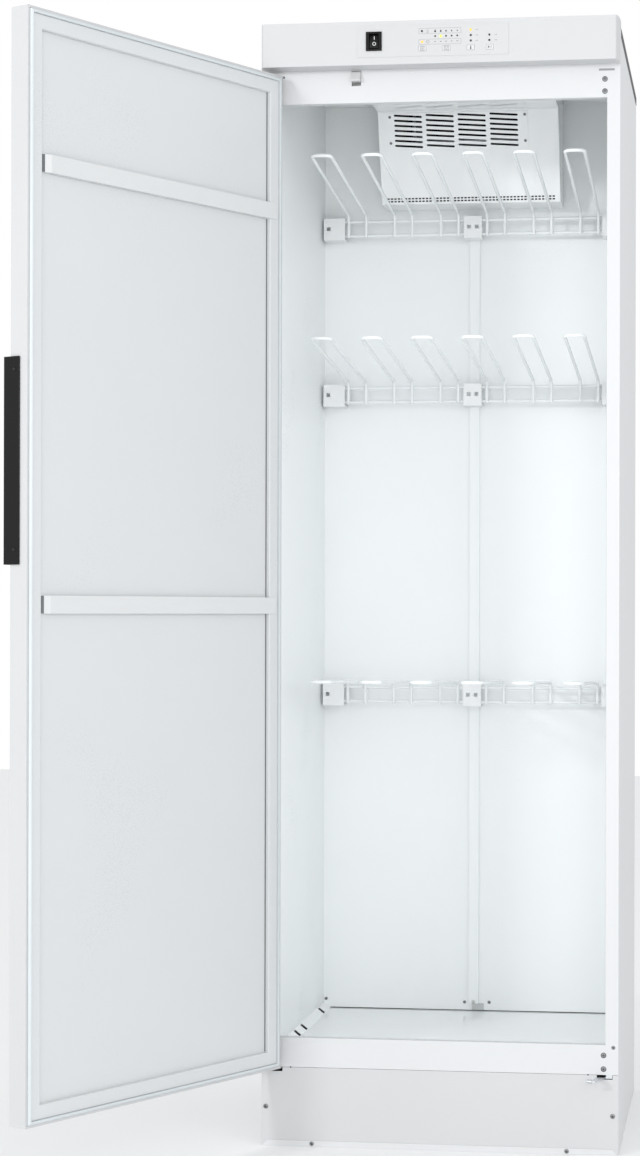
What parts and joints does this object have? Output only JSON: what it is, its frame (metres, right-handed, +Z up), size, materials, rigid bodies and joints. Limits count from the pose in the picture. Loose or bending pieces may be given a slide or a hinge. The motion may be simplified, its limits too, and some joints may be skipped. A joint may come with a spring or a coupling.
{
  "type": "drying cabinet",
  "caption": "Tall white sheet-steel laundry drying cabinet, door open, with fold-down wire hanging racks, blower and heater housing and a control fascia.",
  "frame": {"origin": "centre of the body on the floor, under the base tray", "axes": "+X to the right as seen from the front, +Y to the back, +Z up"},
  "size_m": [0.879, 1.1102, 1.875],
  "materials": {
    "white_paint": "smooth satin white powder coat",
    "chamber_enamel": "glossy white enamel",
    "black_paint": "matte black paint",
    "wire_enamel": "white enamelled steel wire",
    "zinc_steel": "bright zinc plate",
    "white_plastic": "fine satin white plastic",
    "black_plastic": "satin black plastic",
    "circuit_board": "green lacquered board",
    "seal_rubber": "soft pale grey rubber"
  },
  "bodies": {
    "cabinet": {"left_side_panel": "white_paint", "right_side_panel": "white_paint", "base_tray": "white_paint", "plinth_panel": "white_paint", "left_jamb": "white_paint", "right_jamb": "white_paint", "header": "white_paint", "sill": "white_paint", "hinge_plate_lower": "white_paint", "hinge_plate_upper": "white_paint", "top_cover": "black_paint", "rear_panel": "zinc_steel", "fan_motor": "zinc_steel", "heater_element": "zinc_steel", "exhaust_collar": "zinc_steel", "catch_plate": "zinc_steel", "left_inner_wall": "chamber_enamel", "right_inner_wall": "chamber_enamel", "back_wall": "chamber_enamel", "floor_pan": "chamber_enamel", "ceiling_panel": "chamber_enamel", "centre_rail": "chamber_enamel", "fan_housing": "chamber_enamel", "intake_grille": "chamber_enamel", "fascia": "white_plastic", "control_label": "white_plastic", "rack_bracket_lower_left": "white_plastic", "rack_bracket_lower_centre": "white_plastic", "rack_bracket_lower_right": "white_plastic", "rack_bracket_middle_left": "white_plastic", "rack_bracket_middle_centre": "white_plastic", "rack_bracket_middle_right": "white_plastic", "rack_bracket_upper_left": "white_plastic", "rack_bracket_upper_centre": "white_plastic", "rack_bracket_upper_right": "white_plastic", "mains_gland": "black_plastic", "switch_housing": "black_plastic", "door_switch_housing": "white_plastic", "control_board": "circuit_board"},
    "door": {"door_outer_shell": "white_paint", "door_inner_pan": "white_paint", "door_gasket": "seal_rubber", "door_bar_lower": "white_paint", "door_bar_upper": "white_paint", "door_handle": "black_plastic", "door_strike": "white_plastic"},
    "upper_rack": {"rack_upper_left": "wire_enamel", "rack_upper_right": "wire_enamel"},
    "middle_rack": {"rack_middle_left": "wire_enamel", "rack_middle_right": "wire_enamel"},
    "lower_rack": {"rack_lower_left": "wire_enamel", "rack_lower_right": "wire_enamel"},
    "impeller": {"blower_impeller": "black_plastic"},
    "roller": {"catch_roller": "zinc_steel"},
    "rocker": {"power_rocker": "black_plastic"},
    "switch_lever": {"door_switch_lever": "white_plastic"},
    "key_1": {"control_key_1": "white_plastic"},
    "key_2": {"control_key_2": "white_plastic"},
    "key_3": {"control_key_3": "white_plastic"},
    "key_4": {"control_key_4": "white_plastic"}
  },
  "joints": [
    {"name": "door_hinge", "type": "hinge", "parent": "cabinet", "child": "door", "pos_m": [-0.284, -0.306, 0], "axis": [0, 0, 1], "range_deg": [0, 118]},
    {"name": "rack_upper_fold", "type": "hinge", "parent": "cabinet", "child": "upper_rack", "pos_m": [0, 0.209, 1.617], "axis": [1, 0, 0], "range_deg": [0, 44]},
    {"name": "rack_middle_fold", "type": "hinge", "parent": "cabinet", "child": "middle_rack", "pos_m": [0, 0.209, 1.307], "axis": [1, 0, 0], "range_deg": [0, 88]},
    {"name": "rack_lower_fold", "type": "hinge", "parent": "cabinet", "child": "lower_rack", "pos_m": [0, 0.209, 0.75], "axis": [1, 0, 0], "range_deg": [0, 88]},
    {"name": "power_rocker_tilt", "type": "hinge", "parent": "cabinet", "child": "rocker", "pos_m": [-0.1057, -0.3198, 1.8287], "axis": [1, 0, 0], "range_deg": [0, 14]},
    {"name": "key_1_press", "type": "slide", "parent": "cabinet", "child": "key_1", "axis": [0, 1, 0], "range_m": [0, 0.0006], "stiffness_N_per_m": 3000},
    {"name": "key_2_press", "type": "slide", "parent": "cabinet", "child": "key_2", "axis": [0, 1, 0], "range_m": [0, 0.0006], "stiffness_N_per_m": 3000},
    {"name": "key_3_press", "type": "slide", "parent": "cabinet", "child": "key_3", "axis": [0, 1, 0], "range_m": [0, 0.0006], "stiffness_N_per_m": 3000},
    {"name": "key_4_press", "type": "slide", "parent": "cabinet", "child": "key_4", "axis": [0, 1, 0], "range_m": [0, 0.0006], "stiffness_N_per_m": 3000},
    {"name": "door_switch_tilt", "type": "hinge", "parent": "cabinet", "child": "switch_lever", "pos_m": [-0.141, -0.28, 1.786], "axis": [1, 0, 0], "range_deg": [0, 45]},
    {"name": "impeller_spin", "type": "hinge", "parent": "cabinet", "child": "impeller", "pos_m": [0, 0.203, 1.698], "axis": [1, 0, 0], "continuous": true},
    {"name": "catch_roller_spin", "type": "hinge", "parent": "cabinet", "child": "roller", "pos_m": [0.252, -0.317, 0.12725], "axis": [1, 0, 0], "continuous": true}
  ],
  "couplings": [
    {"joint": "door_switch_tilt", "follows": "door_hinge", "ratio": 0.38135}
  ]
}
